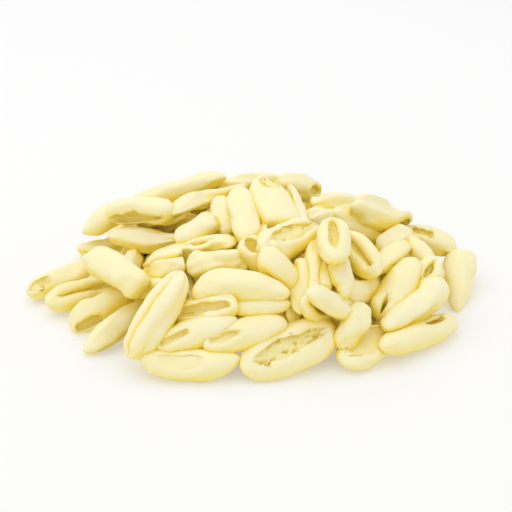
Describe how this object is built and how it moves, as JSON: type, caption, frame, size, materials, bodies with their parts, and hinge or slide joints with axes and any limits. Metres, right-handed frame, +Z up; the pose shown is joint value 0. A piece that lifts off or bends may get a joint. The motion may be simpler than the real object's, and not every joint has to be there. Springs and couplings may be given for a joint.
{
  "type": "heap of cavatelli",
  "caption": "Loose low heap of fresh cavatelli, short curled pasta rolls with a slit along one side, lying on a flat base.",
  "frame": {"origin": "on the ground under the middle of the heap's outline", "axes": "+X along the heap's long side, +Y away from the side that the picture was taken from, +Z up"},
  "size_m": [0.1814, 0.1586, 0.0448],
  "materials": {
    "dough": "matt, slightly soft, pale cream-yellow fresh pasta dough"
  },
  "bodies": {
    "root": {"cavatelli_heap": "dough"}
  },
  "joints": []
}
